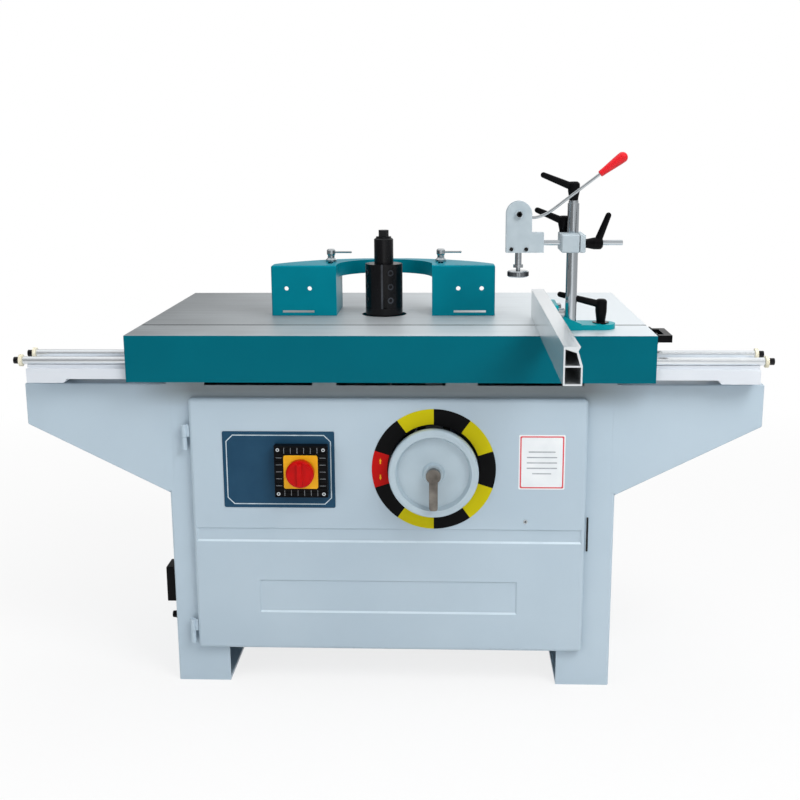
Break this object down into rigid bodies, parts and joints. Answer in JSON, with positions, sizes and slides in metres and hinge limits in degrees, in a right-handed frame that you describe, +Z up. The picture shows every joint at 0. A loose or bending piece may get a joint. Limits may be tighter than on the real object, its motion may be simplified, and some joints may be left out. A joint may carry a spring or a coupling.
{
  "type": "spindle moulder",
  "caption": "Floor-standing spindle moulder with cast table, sliding table on rods, cross-cut fence with hold-down clamp, spindle guard, lift handwheel and hinged cabinet door.",
  "frame": {"origin": "on the floor, at the centre of the four foot anchor holes", "axes": "+X to the operator's right along the table, +Y to the back, +Z up"},
  "size_m": [1.732, 1.3, 1.269],
  "materials": {
    "cabinet_paint": "gloss enamel",
    "table_iron": "machined top over painted apron",
    "teal_casting": "gloss enamel on a casting",
    "bright_steel": "ground",
    "black_steel": "black oxide",
    "black_plastic": "fine texture",
    "cast_aluminium": "matte cast",
    "nylon": "plain",
    "red_plastic": "gloss",
    "yellow_plastic": "satin",
    "rail_paint": "satin",
    "grey_iron": "rough cast",
    "motor_paint": "satin",
    "belt_rubber": "matte",
    "bearing_steel": "polished"
  },
  "bodies": {
    "cabinet": {"cabinet_shell": "cabinet_paint", "rear_panel": "cabinet_paint", "panel_screws": "bright_steel", "left_wing": "cabinet_paint", "right_wing": "cabinet_paint", "main_table": "table_iron", "table_ring": "table_iron", "table_pads": "bright_steel", "rail_beam": "rail_paint", "guide_rods": "bright_steel", "rod_bumpers": "nylon", "rod_bolts": "black_steel", "cabinet_hinges": "cabinet_paint", "wheel_hanger": "grey_iron", "lift_frame": "grey_iron", "lift_columns": "bright_steel", "power_inlet": "black_plastic"},
    "door": {"door_panel": "cabinet_paint", "door_hinges": "cabinet_paint", "hazard_ring": "yellow_plastic", "switch_base": "black_plastic", "switch_bezel": "yellow_plastic"},
    "switch_knob": {"switch_knob": "red_plastic"},
    "handwheel": {"handwheel": "cast_aluminium", "wheel_shaft": "bright_steel"},
    "lock_lever": {"lock_lever": "bright_steel"},
    "lead_screw": {"lead_screw": "bright_steel"},
    "lift": {"lift_carriage": "grey_iron", "spindle_quill": "grey_iron", "spindle_bearings": "bearing_steel", "motor_body": "motor_paint", "drive_belt": "belt_rubber"},
    "spindle": {"spindle_shaft": "bright_steel", "cutter_block": "black_steel", "cutter_knives": "bright_steel", "spindle_collar": "black_steel", "spindle_bolt": "black_steel", "spindle_pulley": "grey_iron"},
    "motor_rotor": {"motor_pulley": "grey_iron"},
    "sliding_table": {"sliding_table": "table_iron", "slide_bearings": "grey_iron", "push_handle": "black_plastic"},
    "mitre": {"mitre_bracket": "teal_casting", "cross_fence": "cast_aluminium", "fence_bolts": "black_steel"},
    "base_lever": {"base_lever": "black_plastic"},
    "post": {"clamp_post": "bright_steel"},
    "post_lever": {"post_lever": "black_plastic"},
    "cross_block": {"cross_block": "cast_aluminium"},
    "side_lever": {"side_lever": "black_plastic"},
    "rear_lever": {"rear_lever": "black_plastic"},
    "clamp_arm": {"clamp_arm": "bright_steel", "clamp_head": "cast_aluminium"},
    "cam": {"cam_lever": "bright_steel", "cam_grip": "red_plastic"},
    "plunger": {"plunger": "black_steel"},
    "guard": {"spindle_guard": "teal_casting"},
    "guard_clamp_left": {"guard_clamp_left": "black_plastic"},
    "guard_clamp_right": {"guard_clamp_right": "black_plastic"}
  },
  "joints": [
    {"name": "door_hinge", "type": "hinge", "parent": "cabinet", "child": "door", "pos_m": [-0.482, -0.304, 0.4], "axis": [0, 0, -1], "range_deg": [0, 110]},
    {"name": "switch_turn", "type": "hinge", "parent": "door", "child": "switch_knob", "pos_m": [-0.206, -0.337, 0.547], "axis": [0, 1, 0], "range_deg": [0, 90]},
    {"name": "handwheel_turn", "type": "hinge", "parent": "cabinet", "child": "handwheel", "pos_m": [0.102, -0.34, 0.548], "axis": [0, 1, 0], "range_deg": [-5040, 2160]},
    {"name": "wheel_lock_turn", "type": "hinge", "parent": "handwheel", "child": "lock_lever", "pos_m": [0.102, -0.365, 0.548], "axis": [0, 1, 0], "range_deg": [-45, 45]},
    {"name": "lead_screw_turn", "type": "hinge", "parent": "cabinet", "child": "lead_screw", "pos_m": [0.102, 0.09, 0.6], "axis": [0, 0, 1], "range_deg": [-5040, 2160]},
    {"name": "lift_slide", "type": "slide", "parent": "cabinet", "child": "lift", "axis": [0, 0, 1], "range_m": [-0.07, 0.03]},
    {"name": "spindle_spin", "type": "hinge", "parent": "lift", "child": "spindle", "pos_m": [-0.027, -0.01, 0.9], "axis": [0, 0, 1], "continuous": true},
    {"name": "motor_spin", "type": "hinge", "parent": "lift", "child": "motor_rotor", "pos_m": [-0.257, -0.01, 0.45], "axis": [0, 0, 1], "continuous": true},
    {"name": "table_slide", "type": "slide", "parent": "cabinet", "child": "sliding_table", "axis": [1, 0, 0], "range_m": [-0.25, 0.25]},
    {"name": "mitre_turn", "type": "hinge", "parent": "sliding_table", "child": "mitre", "pos_m": [0.415, -0.26, 0.876], "axis": [0, 0, 1], "range_deg": [-15, 15]},
    {"name": "base_lever_turn", "type": "hinge", "parent": "sliding_table", "child": "base_lever", "pos_m": [0.48712, -0.23601, 0.9], "axis": [0, 0, 1], "range_deg": [-60, 0]},
    {"name": "post_turn", "type": "hinge", "parent": "mitre", "child": "post", "pos_m": [0.415, -0.26, 1], "axis": [0, 0, 1], "range_deg": [-45, 20]},
    {"name": "post_lever_turn", "type": "hinge", "parent": "post", "child": "post_lever", "pos_m": [0.415, -0.26, 1.18], "axis": [0, 0, 1], "range_deg": [-60, 0]},
    {"name": "block_slide", "type": "slide", "parent": "post", "child": "cross_block", "axis": [0, 0, 1], "range_m": [-0.075, 0.02]},
    {"name": "side_lever_turn", "type": "hinge", "parent": "cross_block", "child": "side_lever", "pos_m": [0.45, -0.311, 1.071], "axis": [1, 0, 0], "range_deg": [-45, 45]},
    {"name": "rear_lever_turn", "type": "hinge", "parent": "cross_block", "child": "rear_lever", "pos_m": [0.397, -0.236, 1.11], "axis": [0, 0, 1], "range_deg": [-60, 0]},
    {"name": "arm_slide", "type": "slide", "parent": "cross_block", "child": "clamp_arm", "axis": [1, 0, 0], "range_m": [-0.07, 0.03]},
    {"name": "cam_turn", "type": "hinge", "parent": "clamp_arm", "child": "cam", "pos_m": [0.2915, -0.29, 1.135], "axis": [0, -1, 0], "range_deg": [0, 60]},
    {"name": "plunger_slide", "type": "slide", "parent": "clamp_arm", "child": "plunger", "axis": [0, 0, 1], "range_m": [0, 0.0082]},
    {"name": "guard_slide", "type": "slide", "parent": "cabinet", "child": "guard", "axis": [0, 1, 0], "range_m": [-0.01, 0.04]},
    {"name": "guard_clamp_left_turn", "type": "hinge", "parent": "cabinet", "child": "guard_clamp_left", "pos_m": [-0.165, 0.05, 1], "axis": [0, 0, 1], "range_deg": [-90, 90]},
    {"name": "guard_clamp_right_turn", "type": "hinge", "parent": "cabinet", "child": "guard_clamp_right", "pos_m": [0.115, 0.05, 1], "axis": [0, 0, 1], "range_deg": [-90, 90]}
  ],
  "couplings": [
    {"joint": "lead_screw_turn", "follows": "handwheel_turn", "ratio": 1},
    {"joint": "lift_slide", "follows": "handwheel_turn", "m_per_rad": 0.00079577},
    {"joint": "motor_spin", "follows": "spindle_spin", "ratio": 0.66667},
    {"joint": "plunger_slide", "follows": "cam_turn", "m_per_rad": 0.00764}
  ]
}
